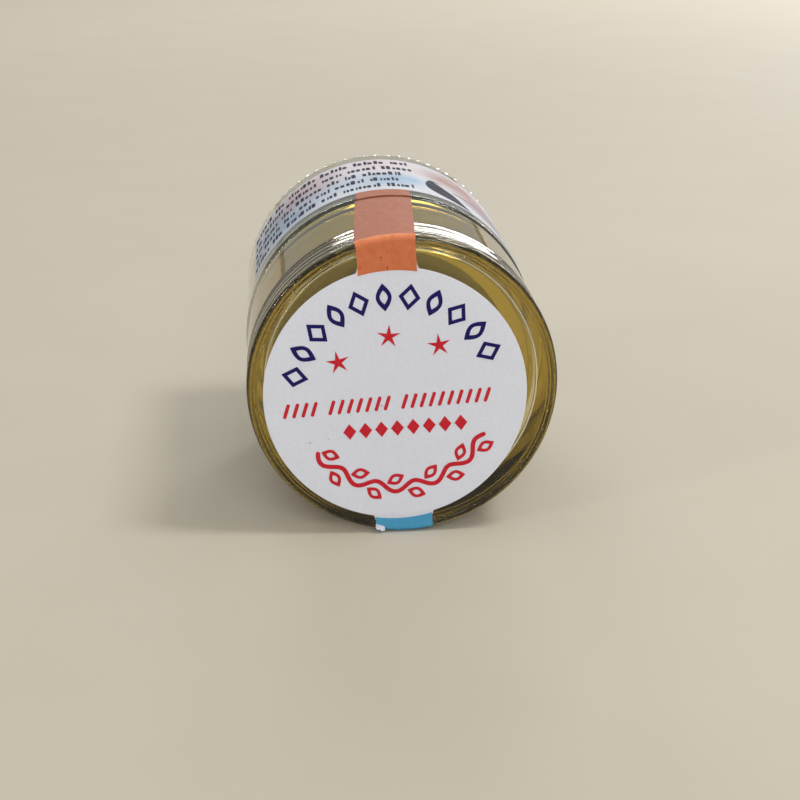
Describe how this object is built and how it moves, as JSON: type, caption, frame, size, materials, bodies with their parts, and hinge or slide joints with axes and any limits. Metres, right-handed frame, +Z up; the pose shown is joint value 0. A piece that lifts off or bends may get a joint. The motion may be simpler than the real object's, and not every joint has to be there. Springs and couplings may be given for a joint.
{
  "type": "cosmetic cream jar",
  "caption": "Clear glass cream jar lying on its side, with a clear screw lid over a gold cap, a sealing sticker and a wrap label.",
  "frame": {"origin": "bottom centre of the bounding box of the jar as it lies on its side", "axes": "+Y along the jar's axis from the lid to the base, +Z up, +X to the right when looking at the lid's face"},
  "size_m": [0.0505, 0.0628, 0.0506],
  "materials": {
    "clear_glass": "polished",
    "clear_acrylic": "clear, polished, lightly scratched",
    "gold_plating": "metallised, mirror polish",
    "white_paper": "satin print paper",
    "orange_paper": "satin print paper",
    "white_plastic": "satin",
    "white_foam": "foam",
    "cream": "soft cream"
  },
  "bodies": {
    "jar": {"glass_jar": "clear_glass", "cream": "cream", "body_label": "white_paper", "seal_tab_end": "orange_paper"},
    "liner": {"lid_liner": "white_foam"},
    "lid": {"lid_shell": "clear_acrylic", "lid_inner_cap": "gold_plating", "lid_sticker": "white_paper"},
    "disc": {"sealing_disc": "white_plastic"}
  },
  "joints": [
    {"name": "lid_lift", "type": "slide", "parent": "jar", "child": "liner", "axis": [0, -1, 0], "range_m": [0, 0.0252]},
    {"name": "lid_turn", "type": "hinge", "parent": "liner", "child": "lid", "pos_m": [0, 0, 0.02523], "axis": [0, -1, 0], "range_deg": [0, 2160]},
    {"name": "disc_lift", "type": "slide", "parent": "jar", "child": "disc", "axis": [0, -1, 0], "range_m": [0, 0.0126]}
  ],
  "couplings": [
    {"joint": "lid_lift", "follows": "lid_turn", "m_per_rad": 0.00066845},
    {"joint": "disc_lift", "follows": "lid_turn", "m_per_rad": 0.00033422}
  ]
}
